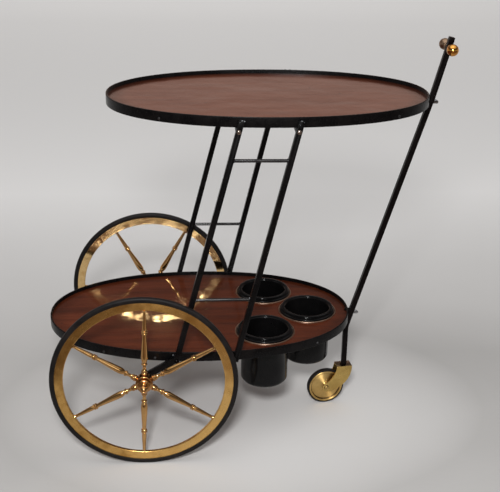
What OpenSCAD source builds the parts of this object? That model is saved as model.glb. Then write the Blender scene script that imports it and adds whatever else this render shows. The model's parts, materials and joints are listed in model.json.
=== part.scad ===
// Two-tier serving trolley with oval trays, two large spoked wheels, a swivel
// castor under a raked push post, and three lift-out bottle cups.
// Millimetres. +Z is up, +X points to the push post, +Y to the far side.
// The origin is on the floor, under the middle of the trolley's length and width.
// Distances called "ahead" are measured along X from the wheel axle.

/* [Trays] */
// Length of each oval tray over its band
tray_l = 588; // [480:1:720]
// Width of each oval tray over its band
tray_w = 366; // [310:1:460]
// Fullness of the oval: 2 is an ellipse, more is squarer
oval_power = 2.14; // [2:0.02:2.5]
// Height of the steel band round each tray
band_h = 18; // [14:0.5:26]
// Thickness of the band
band_t = 3; // [2:0.1:4]
// Depth of the panel's top face below the band's top edge
panel_drop = 7; // [4:0.5:9]
// Height of the lower tray's top edge above the floor
lower_top = 215; // [200:1:270]
// Height of the upper tray's top edge above the floor
upper_top = 653; // [540:1:790]
// Centre of the lower tray ahead of the wheel axle
lower_x = 104; // [80:1:130]
// Centre of the upper tray ahead of the wheel axle
upper_x = 230; // [190:1:260]

/* [Side frames] */
// Side of the square steel bar in the frames, struts and push post
bar = 10; // [8:0.5:13]
// Left rod ahead of the axle, at the lower tray's band
left_foot_x = 59; // [45:1:75]
// Left rod ahead of the axle, at the upper tray's band
left_head_x = 171.5; // [140:0.5:190]
// Right rod ahead of the axle, at the lower tray's band
right_foot_x = 167; // [140:1:180]
// Right rod ahead of the axle, at the upper tray's band
right_head_x = 271.5; // [240:0.5:300]
// Thickness of the round rungs
rung_d = 6; // [4:0.5:8]
// Height of the upper rungs above the floor
high_rung_z = 579.5; // [450:0.5:610]
// Height of the lower rungs above the floor
low_rung_z = 322.5; // [280:0.5:400]
// Distance of a rod's top end below the upper band's top edge
rod_head_drop = 5; // [2:0.5:8]
// Distance of a rod's bottom end above the lower band's bottom edge
rod_foot_rise = 1; // [0:0.5:3]

/* [Screws and bolts] */
// Shank diameter of the screws through the rods
frame_screw_d = 4; // [3:0.1:5]
// Head diameter of the screws through the rods
frame_head_d = 8; // [6:0.5:9]
// Shank diameter of the small screws through the bands
band_screw_d = 2.6; // [2:0.1:3.5]
// Head diameter of the small screws through the bands
band_head_d = 5; // [4:0.5:7]
// Depth that every screw and bolt goes into a panel or rail
screw_grip = 12; // [8:1:16]
// Shank diameter of the two bolts that hold the push post
post_bolt_d = 5; // [4:0.1:6]
// Width across the flats of the push post's cap nuts
nut_flats = 8; // [7:0.5:10]
// Height of the push post's cap nuts, with their domes
nut_h = 10; // [8:0.5:12]

/* [Push post and handle] */
// Set-back of the push post's foot and the castor's swivel axis from the post at the lower tray
post_setback = 9.6; // [4:0.2:16]
// Gap between the push post and the bottom edge of the lower tray's tip
post_gap_low = 0.3; // [0.1:0.1:4]
// Gap between the push post and the bottom edge of the upper tray's tip
post_gap_high = 2; // [0.5:0.5:6]
// Rise of the push post's top end above the upper tray
post_rise = 99; // [60:1:140]
// Forward run of the push post above the upper tray
post_reach = 26.5; // [10:0.5:45]
// Radius of the push post's bends, on its centreline
post_bend_r = 60; // [30:1:90]
// Height of the lower bolt above the middle of its band
low_bolt_rise = 2.4; // [1:0.2:4]
// Height of the upper bolt below the middle of its band
high_bolt_drop = 5.6; // [4:0.2:6]
// Distance of the handle bar below the push post's top end
handle_drop = 18; // [14:0.5:30]
// Diameter of the handle bar
handle_d = 7; // [5:0.5:8]
// Distance between the centres of the two handle knobs
knob_span = 59; // [50:1:120]
// Diameter of a handle knob's ball
knob_d = 21.5; // [16:0.5:30]

/* [Large wheels] */
// Diameter of a large wheel over its tyre
wheel_d = 340; // [300:1:390]
// Distance between the middle planes of the two large wheels
track = 419; // [400:1:520]
// Radial height of the tyre
tyre_h = 9; // [6:0.5:14]
// Width of the tyre
tyre_w = 10; // [8:0.5:14]
// Radial height of the brass rim
rim_h = 15.5; // [10:0.5:20]
// Width of the brass rim
rim_w = 6.6; // [5:0.2:9]
// Turn of the near wheel's first spoke from straight ahead, in degrees
near_turn = 28.3; // [0:0.1:59]
// Turn of the far wheel's first spoke from straight ahead, in degrees
far_turn = 0; // [0:0.1:59]
// Diameter of the stub axles
axle_d = 8; // [6:0.5:10]
// Radius of the hub's drum
hub_r = 15; // [13:0.5:18]
// Radius at which the spokes leave their hub sockets
socket_r = 24; // [22:0.5:28]

/* [Castor] */
// Diameter of the castor wheel over its tyre
castor_d = 76; // [60:1:80]
// Distance of the castor's axle behind its swivel axis
castor_trail = 37; // [28:0.5:42]
// Turn of the castor about its swivel axis, in degrees
castor_turn = 8; // [-30:1:30]
// Width of the castor fork over its arms
fork_w = 23; // [20:0.2:28]
// Distance of the castor fork's front edge ahead of its swivel axis
fork_front = 15; // [12:0.5:18]
// Thickness of the fork's sheet brass
fork_t = 2; // [1.5:0.1:2.5]
// Space between the castor's tyre and the fork's top plate
fork_room = 7; // [5:0.5:12]
// Diameter of the castor's swivel stem
stem_d = 6; // [5:0.1:7]
// Length of the stem inside the push post
stem_grip = 32; // [20:1:45]
// Diameter of the castor wheel's rivet
rivet_d = 5; // [4:0.1:6]

/* [Cups] */
// Clear diameter of a cup's mouth
cup_mouth_d = 91; // [78:0.5:96]
// Depth of a cup inside
cup_depth = 110; // [70:1:125]
// Thickness of a cup's wall
cup_wall = 1.8; // [1.2:0.1:3]
// Width of the step round the inside of a cup's mouth
mouth_step = 2; // [1:0.1:3]
// Centre of the near cup ahead of the axle
near_cup_x = 226; // [220:0.5:232]
// Centre of the far cup ahead of the axle
far_cup_x = 235; // [228:0.5:238]
// Distance of the two side cups from the middle of the trolley
side_cup_y = 88; // [85:0.5:92]
// Centre of the end cup ahead of the axle
end_cup_x = 316.5; // [312:0.5:320]
// Width of the trim ring's rounded outer bead
ring_bead_w = 2.6; // [2:0.1:4]

/* [Fits] */
// Gap left where a rod, rail or strut is welded or screwed against its neighbour
seat_gap = 0.1; // [0.05:0.01:0.2]
// Radial clearance of a screw, bolt or fixed pin in its hole
screw_fit = 0.04; // [0.02:0.01:0.08]
// Radial clearance of a turning shaft in its bore
running_fit = 0.06; // [0.03:0.01:0.1]
// Gap beside a turning or lifting piece
side_gap = 0.4; // [0.3:0.05:0.8]

/* [Hidden] */
$fn = 72;
NEAR = -1;
FAR = 1;
spoke_count = 6;
oval_steps = 144;
cut = 1;

black = "#161618";
brass = "#c39b4c";
wood = "#70382a";
rubber = "#1d1c1e";

// Derived sizes
half_l = tray_l / 2;
half_w = tray_w / 2;
panel_t = band_h - panel_drop;
wheel_r = wheel_d / 2;
wheel_y = track / 2;
rim_r = wheel_r - tyre_h;
spoke_tip_r = rim_r - rim_h;
lower_mid_z = lower_top - band_h / 2;
upper_mid_z = upper_top - band_h / 2;
rail_z = upper_top - band_h - bar / 2;
castor_r = castor_d / 2;
plate_z = castor_d + fork_room;
post_foot_z = plate_z + fork_t + side_gap;

// Places where the outline of the trolley begins and ends along X
lower_tip_x = lower_x + half_l;
upper_tip_x = upper_x + half_l;
post_rake = atan2(upper_tip_x + post_gap_high - lower_tip_x - post_gap_low,
    upper_mid_z - lower_mid_z);
post_half_run = bar / 2 / cos(post_rake);
post_edge_run = post_half_run + band_h / 2 * tan(post_rake);
post_low_x = lower_tip_x + post_gap_low + post_edge_run;
post_foot_x = post_low_x - post_setback;
post_high_x = upper_tip_x + post_gap_high + post_edge_run;
post_top_x = post_high_x + post_reach;
post_top_z = upper_mid_z + post_rise + band_h / 2;
top_rake = atan2(post_reach, post_top_z - upper_mid_z);
handle_z = post_top_z - handle_drop;
handle_x = post_top_x - handle_drop * tan(top_rake);
front_x = max(post_top_x + bar / 2 * cos(top_rake), handle_x + knob_d / 2);
back_x = min(lower_x - half_l, -wheel_r);
axle_x = -(front_x + back_x) / 2;

// Cup sizes
cup_r = cup_mouth_d / 2;
cup_in_r = cup_r - mouth_step;
cup_out_r = cup_in_r + cup_wall;
cup_flange_r = cup_r + 9;
ring_in_r = cup_out_r + 1.2;
ring_out_r = cup_flange_r + side_gap + ring_bead_w;
ring_base_t = 0.8;
lower_panel_z = lower_top - panel_drop;

// A signed power, for the oval's corners
function spow(v, e) = sign(v) * pow(abs(v), e);

// Half width of the oval at a distance d from its centre along its length
function oval_y(d) = half_w * pow(1 - pow(min(abs(d) / half_l, 1), oval_power), 1 / oval_power);

// Outward direction of the oval at the same place, as an angle from +X
function oval_normal(d) = atan2(pow(oval_y(d) / half_w, oval_power - 1) / half_w,
    spow(d / half_l, oval_power - 1) / half_l);

// Point of the oval at parameter angle t, moved inward by inset
function oval_point(t, inset) =
    let (px = half_l * spow(cos(t), 2 / oval_power),
         py = half_w * spow(sin(t), 2 / oval_power),
         nx = spow(cos(t), 2 - 2 / oval_power) / half_l,
         ny = spow(sin(t), 2 - 2 / oval_power) / half_w,
         n = norm([nx, ny]))
    [px - inset * nx / n, py - inset * ny / n];

// Points of an arc from angle a to angle b
function arc(x, y, r, a, b, steps = 12) =
    [for (i = [0:steps]) let (t = a + (b - a) * i / steps) [x + r * cos(t), y + r * sin(t)]];

// Distance along X from the axle to a rod's centreline at height z
function rod_x(foot_x, head_x, z) =
    foot_x + (head_x - foot_x) * (z - lower_mid_z) / (upper_mid_z - lower_mid_z);

// How far a slanted rod reaches along X while it passes a band
function rod_reach(foot_x, head_x) =
    let (lean = atan2(head_x - foot_x, upper_mid_z - lower_mid_z))
    bar / 2 / cos(lean) + band_h / 2 * tan(lean);

// Distance of a rod's centreline from the middle of the trolley, where it passes a band
function rod_band_y(foot_x, head_x, x, tray_x) =
    oval_y(max(0, abs(x - tray_x) - rod_reach(foot_x, head_x))) + seat_gap + bar / 2;

// Distance of a rod's centreline from the middle of the trolley at height z
function rod_y(foot_x, head_x, z) =
    let (low = rod_band_y(foot_x, head_x, foot_x, lower_x),
         high = rod_band_y(foot_x, head_x, head_x, upper_x))
    low + (high - low) * (z - lower_mid_z) / (upper_mid_z - lower_mid_z);

strut_y = rod_y(left_foot_x, left_head_x, lower_mid_z);
hub_inner = wheel_y - strut_y - bar / 2 - side_gap;

// Puts a piece that is drawn from the wheel axle into the trolley's own frame
module ahead(x = 0, y = 0, z = 0) {
    translate([axle_x + x, y, z]) children();
}

// Turns a shape drawn along +Z so that it points outward, to the near or the far side
module facing(side) {
    rotate([-90 * side, 0, 0]) children();
}

module oval(inset) {
    polygon([for (i = [0:oval_steps - 1]) oval_point(360 * i / oval_steps, inset)]);
}

// ---- Holes and screws ----

// Distances of the small band screws from a tray's centre, along its length
upper_band_screws = [-195, 217];
lower_band_screws = [-180, -85, 219];

// Places a child on the oval's edge, with +Z pointing outward
module on_band(d, side, tray_x, z) {
    ahead(tray_x + d, side * oval_y(d), z) rotate([0, 90, side * oval_normal(d)]) children();
}

module each_band_screw(upper) {
    tray_x = upper ? upper_x : lower_x;
    z = (upper ? upper_top : lower_top) - band_h + panel_t / 2;
    for (d = upper ? upper_band_screws : lower_band_screws, side = [NEAR, FAR])
        on_band(d, side, tray_x, z) children();
}

// Places a child on each rod's outer face, with +Z pointing outward
module each_frame_screw(upper) {
    z = upper ? rail_z : lower_top - band_h + panel_t / 2;
    for (rod = [[left_foot_x, left_head_x], [right_foot_x, right_head_x]], side = [NEAR, FAR])
        ahead(rod_x(rod[0], rod[1], z), side * (rod_y(rod[0], rod[1], z) + bar / 2 + screw_fit), z)
            facing(side) children();
}

module screw(shank_d, head_d, length) {
    head_h = head_d * 0.35;
    translate([0, 0, -length]) cylinder(d = shank_d, h = length);
    rotate_extrude() polygon(concat([[0, 0]], [for (t = [0:15:90])
        [head_d / 2 * cos(t), head_h * (0.3 + 0.7 * sin(t))]], [[0, head_h]]) );
    cylinder(d = head_d, h = head_h * 0.3);
}

frame_screw_l = bar + band_t + screw_grip;
band_screw_l = band_t + screw_grip;

module frame_screw_holes(upper) {
    each_frame_screw(upper) translate([0, 0, -frame_screw_l])
        cylinder(r = frame_screw_d / 2 + screw_fit, h = frame_screw_l + cut);
}

module band_screw_holes(upper) {
    each_band_screw(upper) translate([0, 0, -band_screw_l])
        cylinder(r = band_screw_d / 2 + screw_fit, h = band_screw_l + cut);
}

module frame_screws() color(black) {
    each_frame_screw(true) screw(frame_screw_d, frame_head_d, frame_screw_l);
    each_frame_screw(false) screw(frame_screw_d, frame_head_d, frame_screw_l);
}

module band_screws() color(black) {
    each_band_screw(true) screw(band_screw_d, band_head_d, band_screw_l);
    each_band_screw(false) screw(band_screw_d, band_head_d, band_screw_l);
}

// ---- Push post bolts ----

bolt_head_d = 8;
bolt_head_h = 2.5;
nut_hex_h = 4;
spacer_d = 9;

function bolt_z(upper) = upper ? upper_mid_z - high_bolt_drop : lower_mid_z + low_bolt_rise;

function tip_x(upper) = upper ? upper_tip_x : lower_tip_x;

// Distance from a band's outer face to the push post's centreline, along the bolt
function bolt_reach(upper) = cos(post_rake) *
    (post_low_x + (bolt_z(upper) - lower_mid_z) * tan(post_rake) - tip_x(upper));

// Distance from a band's outer face to the bolt's inner end, along the bolt
function bolt_grip(upper) = upper ? band_t + screw_grip : band_t / cos(post_rake) + 1;

// Places a child where a post bolt leaves the band, with +Z along the bolt to the nut
module at_post_bolt(upper) {
    ahead(tip_x(upper), 0, bolt_z(upper)) rotate([0, 90 + post_rake, 0]) children();
}

module post_bolt_hole(upper) {
    at_post_bolt(upper) translate([0, 0, -bolt_grip(upper)])
        cylinder(r = post_bolt_d / 2 + screw_fit, h = bolt_grip(upper) + 4 * bar);
}

// Room in the lower panel's edge for the head of the lower bolt
module bolt_head_room() {
    at_post_bolt(false) translate([0, 0, -band_t - bolt_head_h - 2])
        cylinder(d = bolt_head_d + 1, h = bolt_head_h + 2 + band_h / 2);
}

// The outside of a tray, as a tall block
module tray_block(upper, inset = 0) {
    ahead(upper ? upper_x : lower_x, 0, (upper ? upper_top : lower_top) - 2 * band_h)
        linear_extrude(3 * band_h) oval(inset);
}

// The upper bolt is screwed into the panel; the lower one has a button head inside the band
module post_bolts() color(black) {
    for (upper = [false, true]) at_post_bolt(upper) translate([0, 0, -bolt_grip(upper)])
        cylinder(d = post_bolt_d, h = bolt_grip(upper) + bolt_reach(upper) + bar / 2 + nut_h - 3);
    intersection() {
        at_post_bolt(false) translate([0, 0, -band_t - bolt_head_h]) rotate_extrude()
            polygon([[0, 0], [bolt_head_d / 2 - 1.5, 0], [bolt_head_d / 2, 1.5],
                [bolt_head_d / 2, bolt_head_h + 2], [0, bolt_head_h + 2]]);
        tray_block(false, band_t);
    }
}

// Hexagonal cap nuts with domes
module post_nuts() color(black)
    for (upper = [false, true]) at_post_bolt(upper)
        translate([0, 0, bolt_reach(upper) + bar / 2]) difference() {
            union() {
                cylinder(d = nut_flats / cos(30), h = nut_hex_h, $fn = 6);
                rotate_extrude() polygon(concat([[0, 1], [nut_flats * 0.46, 1]],
                    [for (t = [0:15:90]) [nut_flats * 0.46 * cos(t),
                        nut_hex_h + 1 + (nut_h - nut_hex_h - 1) * sin(t)]]));
            }
            translate([0, 0, -cut]) cylinder(r = post_bolt_d / 2 + screw_fit, h = nut_h - 3 + 2 * cut);
        }

// Short tubes that fill the gap between the trays' tips and the push post
module post_spacers() color(black)
    for (upper = [false, true]) difference() {
        at_post_bolt(upper) translate([0, 0, -band_t])
            cylinder(d = spacer_d, h = band_t + bolt_reach(upper));
        post_bolt_hole(upper);
        tray_block(upper);
        post_bar();
    }

// ---- Trays ----

module tray_panel(upper) {
    difference() {
        ahead(upper ? upper_x : lower_x, 0, (upper ? upper_top : lower_top) - band_h)
            linear_extrude(panel_t) oval(band_t);
        band_screw_holes(upper);
        if (upper) post_bolt_hole(true);
        if (!upper) {
            bolt_head_room();
            frame_screw_holes(false);
            each_cup() translate([0, 0, -band_h]) cylinder(r = ring_in_r, h = 2 * band_h);
        }
    }
}

module tray_band(upper) {
    difference() {
        ahead(upper ? upper_x : lower_x, 0, (upper ? upper_top : lower_top) - band_h)
            linear_extrude(band_h) difference() {
                oval(0);
                oval(band_t);
            }
        band_screw_holes(upper);
        post_bolt_hole(upper);
        if (!upper) frame_screw_holes(false);
    }
}

module upper_panel() color(wood) tray_panel(true);
module lower_panel() color(wood) tray_panel(false);
module upper_band() color(black) tray_band(true);
module lower_band() color(black) tray_band(false);

// ---- Side frames ----

// One slanted square rod, cut level at both ends
module rod_bar(side, foot_x, head_x) {
    dx = head_x - foot_x;
    dz = upper_mid_z - lower_mid_z;
    dy = side * (rod_y(foot_x, head_x, upper_mid_z) - rod_y(foot_x, head_x, lower_mid_z));
    length = norm([dx, dy, dz]);
    spare = 3 * bar;
    foot_z = lower_top - band_h + rod_foot_rise;
    intersection() {
        ahead(foot_x, side * rod_y(foot_x, head_x, lower_mid_z), lower_mid_z)
            rotate([-asin(dy / length), atan2(dx, dz), 0])
                translate([-bar / 2, -bar / 2, -spare]) cube([bar, bar, length + 2 * spare]);
        translate([-tray_l, -tray_w, foot_z])
            cube([2 * tray_l, 2 * tray_w, upper_top - rod_head_drop - foot_z]);
    }
}

module left_rod(side) rod_bar(side, left_foot_x, left_head_x);
module right_rod(side) rod_bar(side, right_foot_x, right_head_x);

module drilled_rod() {
    difference() {
        children();
        frame_screw_holes(true);
        frame_screw_holes(false);
    }
}

module near_left_rod() color(black) drilled_rod() left_rod(NEAR);
module near_right_rod() color(black) drilled_rod() right_rod(NEAR);
module far_left_rod() color(black) drilled_rod() left_rod(FAR);
module far_right_rod() color(black) drilled_rod() right_rod(FAR);

// A round rung between the two rods of one side
module rung(side, z) {
    left_x = rod_x(left_foot_x, left_head_x, z);
    left_y = side * rod_y(left_foot_x, left_head_x, z);
    dx = rod_x(right_foot_x, right_head_x, z) - left_x;
    dy = side * rod_y(right_foot_x, right_head_x, z) - left_y;
    color(black) difference() {
        ahead(left_x, left_y, z) rotate([0, 90, atan2(dy, dx)]) cylinder(d = rung_d, h = norm([dx, dy]));
        left_rod(side);
        right_rod(side);
    }
}

module near_high_rung() rung(NEAR, high_rung_z);
module near_low_rung() rung(NEAR, low_rung_z);
module far_high_rung() rung(FAR, high_rung_z);
module far_low_rung() rung(FAR, low_rung_z);

// A square cross rail under the upper tray, between the near and the far rod
module rail(foot_x, head_x) {
    half = rod_y(foot_x, head_x, rail_z) - bar / 2 - seat_gap;
    color(black) difference() {
        ahead(rod_x(foot_x, head_x, rail_z), 0, rail_z)
            cube([bar, 2 * half, bar], center = true);
        frame_screw_holes(true);
    }
}

module left_rail() rail(left_foot_x, left_head_x);
module right_rail() rail(right_foot_x, right_head_x);

// The bar from a left rod's foot down to the stub axle
module strut(side) {
    strut_x = rod_x(left_foot_x, left_head_x, lower_mid_z);
    rise = lower_mid_z - wheel_r;
    color(black) difference() {
        union() {
            ahead(0, side * strut_y, wheel_r) rotate([0, -atan2(rise, strut_x), 0])
                translate([0, -bar / 2, -bar / 2]) cube([norm([strut_x, rise]), bar, bar]);
            ahead(0, side * strut_y, wheel_r) rotate([90, 0, 0])
                cylinder(d = 1.7 * bar, h = bar, center = true);
        }
        left_rod(side);
        ahead(0, 0, wheel_r) rotate([90, 0, 0])
            cylinder(r = axle_d / 2 + screw_fit, h = track, center = true);
        frame_screw_holes(false);
    }
}

module near_strut() strut(NEAR);
module far_strut() strut(FAR);

// ---- Push post and handle ----

// Centreline of the push post: distance ahead of the axle and height, foot first
post_bend_z = lower_mid_z - (post_low_x - post_foot_x) / tan(post_rake);

// Points of a bend of radius r round corner c, coming from angle a and leaving at angle b,
// both measured from straight up towards +X
function bend(c, a, b, r, steps = 6) =
    let (t = r * tan(abs(b - a) / 2),
         start = [c[0] - t * sin(a), c[1] - t * cos(a)],
         turn = b > a ? 1 : -1,
         centre = [start[0] + turn * r * cos(a), start[1] - turn * r * sin(a)])
    [for (i = [0:steps]) let (s = a + (b - a) * i / steps)
        [centre[0] - turn * r * cos(s), centre[1] + turn * r * sin(s)]];

post_line = concat([[post_foot_x, post_foot_z]],
    bend([post_foot_x, post_bend_z], 0, post_rake, post_bend_r),
    bend([post_high_x, upper_mid_z], post_rake, top_rake, post_bend_r),
    [[post_top_x, post_top_z]]);

// Direction of a path at point i, and the path moved sideways by d with mitred corners
function path_dir(p, i) = let (a = p[max(i - 1, 0)], b = p[min(i + 1, len(p) - 1)]) (b - a) / norm(b - a);
function path_side(p, d) = [for (i = [0:len(p) - 1]) let (v = path_dir(p, i)) p[i] + d * [v[1], -v[0]]];
function reversed(p) = [for (i = [len(p) - 1:-1:0]) p[i]];

module post_bar() {
    ahead(0, bar / 2) rotate([90, 0, 0]) linear_extrude(bar)
        polygon(concat(path_side(post_line, -bar / 2), reversed(path_side(post_line, bar / 2))));
}

module push_post() color(black) difference() {
    post_bar();
    post_bolt_hole(false);
    post_bolt_hole(true);
    ahead(handle_x, 0, handle_z) rotate([90, 0, 0])
        cylinder(r = handle_d / 2 + screw_fit, h = 2 * bar, center = true);
    ahead(post_foot_x, 0, post_foot_z - cut)
        cylinder(r = stem_d / 2 + running_fit, h = stem_grip + 2 * cut);
}

knob_base = knob_span / 2 - knob_d / 2 - 8;
knob_bore = 16;

module handle_bar() color(black)
    ahead(handle_x, 0, handle_z) rotate([90, 0, 0])
        cylinder(d = handle_d, h = 2 * (knob_base + knob_bore - side_gap), center = true);

// A turned knob: a ball on a short waisted neck with a collar
module knob(side) {
    ball_y = knob_span / 2 - knob_base;
    neck_r = knob_d * 0.23;
    start = asin(neck_r / (knob_d / 2));
    color(brass) ahead(handle_x, side * knob_base, handle_z) facing(side) difference() {
        rotate_extrude() polygon(concat([[0, 0], [neck_r + 1.5, 0], [neck_r + 1.5, 2], [neck_r, 3]],
            [for (p = arc(0, ball_y, knob_d / 2, -90 + start, 90, 16)) [max(p[0], 0), p[1]]]));
        translate([0, 0, -cut]) cylinder(r = handle_d / 2 + screw_fit, h = knob_bore + cut);
    }
}

module near_knob() knob(NEAR);
module far_knob() knob(FAR);

// ---- Large wheels ----

cap_gap = 0.3;
hub_outer = 16;
axle_end = 25;

// Places a child at a wheel's centre, with +Z along the axle to the outside
module at_wheel(side) {
    ahead(0, side * wheel_y, wheel_r) facing(side) children();
}

// A stub axle: a pin with a flat head on the inside of the strut
module stub_axle(side) color(black) at_wheel(side) {
    head_z = -hub_inner - side_gap - bar;
    translate([0, 0, head_z]) cylinder(d = axle_d, h = axle_end - head_z);
    translate([0, 0, head_z - 4]) cylinder(d = axle_d + 6, h = 4);
}

// A domed cap nut on the end of the stub axle
module cap_nut(side) color(brass) at_wheel(side) difference() {
    translate([0, 0, hub_outer + cap_gap]) rotate_extrude() polygon(concat(
        [[0, 0], [9, 0]], arc(9, 1.5, 1.5, -90, 90, 8), [[8, 3.6], [6, 4.6]],
        [for (p = arc(0, 9, 6.8, -35, 90, 12)) [max(p[0], 0), p[1]]]));
    cylinder(r = axle_d / 2 + screw_fit, h = axle_end + cut);
}

module hub(side) color(brass) at_wheel(side) difference() {
    union() {
        rotate_extrude() polygon([[0, -hub_inner], [9.5, -hub_inner], [9.5, -hub_inner + 3],
            [8.5, -hub_inner + 4], [8.5, -9.5], [hub_r, -8], [hub_r, 8], [10, 9.5],
            [10, 11.5], [12.5, 12.5], [12.5, hub_outer - 1], [11.5, hub_outer], [0, hub_outer]]);
        for (i = [0:spoke_count - 1]) rotate([0, 0, spoke_angle(side, i)]) rotate([0, 90, 0])
            rotate_extrude() polygon([[0, hub_r / 2], [5, hub_r / 2], [5, hub_r + 1],
                [6, hub_r + 2], [6, socket_r - 3], [5, socket_r], [0, socket_r]]);
    }
    translate([0, 0, -hub_inner - cut])
        cylinder(r = axle_d / 2 + running_fit, h = hub_inner + hub_outer + 2 * cut);
}

// Angle of spoke i seen along the axle from outside; the near side is a mirror of the far side
function spoke_angle(side, i) =
    (side == NEAR ? near_turn : -far_turn) + 360 / spoke_count * i;

// Half thickness of a spoke's swelling part at fraction f of its length
function swell(f, thick, thin) = thin + (thick - thin) * pow(sin(180 * pow(f, 0.45)), 1.3);

// A turned spoke: neck, bead, long swelling, bead, and a taper to a flared tip
module spoke(side, i) {
    reach = spoke_tip_r - socket_r;
    inner_bead = socket_r + 0.115 * reach;
    outer_bead = socket_r + 0.64 * reach;
    profile = concat([[0, socket_r], [4.6, socket_r], [3.3, socket_r + 3], [3.3, inner_bead - 3]],
        arc(3, inner_bead, 2.2, -90, 90, 6),
        [for (f = [0.1:0.1:1]) [swell(f, 6.2, 3.6), inner_bead + 3 + f * (outer_bead - inner_bead - 7)]],
        arc(3.7, outer_bead - 1.7, 1.6, -80, 70, 5), arc(3.7, outer_bead + 1.7, 1.6, -70, 80, 5),
        [[4.2, outer_bead + 4], [4, outer_bead + 12], [2.8, spoke_tip_r - 4],
         [3.8, spoke_tip_r - seat_gap], [0, spoke_tip_r - seat_gap]]);
    color(brass) at_wheel(side) rotate([0, 0, spoke_angle(side, i)]) rotate([0, 90, 0])
        rotate_extrude($fn = 36) polygon(profile);
}

// A flat brass ring with eased edges
module rim(side) {
    ease = 0.8;
    color(brass) at_wheel(side) rotate_extrude($fn = 144) polygon([
        [spoke_tip_r, -rim_w / 2 + ease], [spoke_tip_r + ease, -rim_w / 2],
        [rim_r, -rim_w / 2], [rim_r, rim_w / 2],
        [spoke_tip_r + ease, rim_w / 2], [spoke_tip_r, rim_w / 2 - ease]]);
}

// A solid rubber tyre with a rounded tread
module tyre_ring(inner_r, outer_r, width, shoulder) {
    rotate_extrude($fn = 144) polygon(concat([[inner_r, -width / 2]],
        arc(outer_r - shoulder, -width / 2 + shoulder, shoulder, -90, 0, 6),
        arc(outer_r - shoulder, width / 2 - shoulder, shoulder, 0, 90, 6), [[inner_r, width / 2]]));
}

module tyre(side) color(rubber) at_wheel(side)
    tyre_ring(rim_r, wheel_r, tyre_w, min(tyre_w * 0.42, tyre_h * 0.7));

module near_axle() stub_axle(NEAR);
module far_axle() stub_axle(FAR);
module near_cap_nut() cap_nut(NEAR);
module far_cap_nut() cap_nut(FAR);
module near_tyre() tyre(NEAR);
module near_rim() rim(NEAR);
module near_hub() hub(NEAR);
module far_tyre() tyre(FAR);
module far_rim() rim(FAR);
module far_hub() hub(FAR);

// ---- Castor ----

castor_tyre_h = 3.5;
castor_tyre_w = 11;
castor_side = fork_w / 2 - fork_t;

// Places a child at the castor's swivel axis, at floor level
module at_swivel() ahead(post_foot_x) rotate([0, 0, castor_turn]) children();

// Outline of a fork arm, seen from the near side: X from the swivel axis, height above the floor.
// One large arc runs from the plate's front edge down to the bottom of the tip, and a hollow
// one from the top of the tip back up to the plate.
tip_r = 8.5;
tip = [-castor_trail, castor_r];
edge_run = castor_trail + fork_front;
edge_rise = plate_z - castor_r + tip_r;
edge_r = (pow(edge_run, 2) + pow(edge_rise, 2)) / (2 * edge_rise);
edge_z = castor_r - tip_r + edge_r;
hollow = [-castor_trail - 30, plate_z + 6];
hollow_r = norm(hollow - tip) - tip_r;
hollow_end = asin((hollow[1] - plate_z) / hollow_r);
fork_back = hollow[0] + hollow_r * cos(hollow_end);
tip_to_hollow = atan2(hollow[1] - tip[1], hollow[0] - tip[0]);
arm_outline = concat(
    arc(tip[0], edge_z, edge_r, asin((plate_z - edge_z) / edge_r), -90, 24),
    arc(tip[0], tip[1], tip_r, -90, tip_to_hollow - 360, 16),
    arc(hollow[0], hollow[1], hollow_r, tip_to_hollow - 180, -hollow_end));

module castor_fork() color(brass) at_swivel() difference() {
    union() {
        for (side = [NEAR, FAR]) translate([0, side * (fork_w - fork_t) / 2 + fork_t / 2, 0])
            rotate([90, 0, 0]) linear_extrude(fork_t) polygon(arm_outline);
        translate([fork_back, -fork_w / 2, plate_z])
            cube([fork_front - fork_back, fork_w, fork_t]);
    }
    translate([0, 0, plate_z - cut]) cylinder(r = stem_d / 2 + screw_fit, h = fork_t + 2 * cut);
    translate([-castor_trail, 0, castor_r]) rotate([90, 0, 0])
        cylinder(r = rivet_d / 2 + screw_fit, h = 2 * fork_w, center = true);
}

// The swivel stem, with its riveted head under the fork's plate
module castor_stem() color(brass) at_swivel() {
    translate([0, 0, plate_z - 1.8]) cylinder(d = stem_d + 5, h = 1.8);
    translate([0, 0, plate_z - 1]) cylinder(d = stem_d, h = fork_t + side_gap + stem_grip);
}

module castor_rivet() color(brass) at_swivel() translate([-castor_trail, 0, castor_r]) {
    rotate([90, 0, 0]) cylinder(d = rivet_d, h = fork_w, center = true);
    for (side = [NEAR, FAR]) translate([0, side * fork_w / 2, 0]) facing(side)
        rotate_extrude() polygon(concat([[0, 0]], [for (t = [0:15:90])
            [rivet_d * 0.95 * cos(t), 2.4 * sin(t)]]));
}

module at_castor_wheel() at_swivel() translate([-castor_trail, 0, castor_r])
    rotate([90, 0, 0]) children();

// A dished brass disc wheel, the same on both faces
module castor_wheel() color(brass) at_castor_wheel() difference() {
    rim_out = castor_r - castor_tyre_h;
    hub_half = castor_side - side_gap;
    half = [[0, hub_half], [5.5, hub_half], [6.5, hub_half - 1], [6.5, 6.2], [9, 5.8], [10, 5],
        [rim_out - 9, 2.4], [rim_out - 5, 2.8], [rim_out - 3.5, 5], [rim_out - 2, 5.8],
        [rim_out, 5.2]];
    rotate_extrude() polygon(concat(half, [for (p = reversed(half)) [p[0], -p[1]]]));
    cylinder(r = rivet_d / 2 + running_fit, h = 2 * fork_w, center = true);
}

module castor_tyre() color(rubber) at_castor_wheel()
    tyre_ring(castor_r - castor_tyre_h, castor_r, castor_tyre_w, 2.8);

// ---- Cups and trim rings ----

cup_places = [[near_cup_x, -side_cup_y], [far_cup_x, side_cup_y], [end_cup_x, 0]];

module at_cup(i) ahead(cup_places[i][0], cup_places[i][1], lower_panel_z) children();
module each_cup() for (i = [0:len(cup_places) - 1]) at_cup(i) children();

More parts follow.
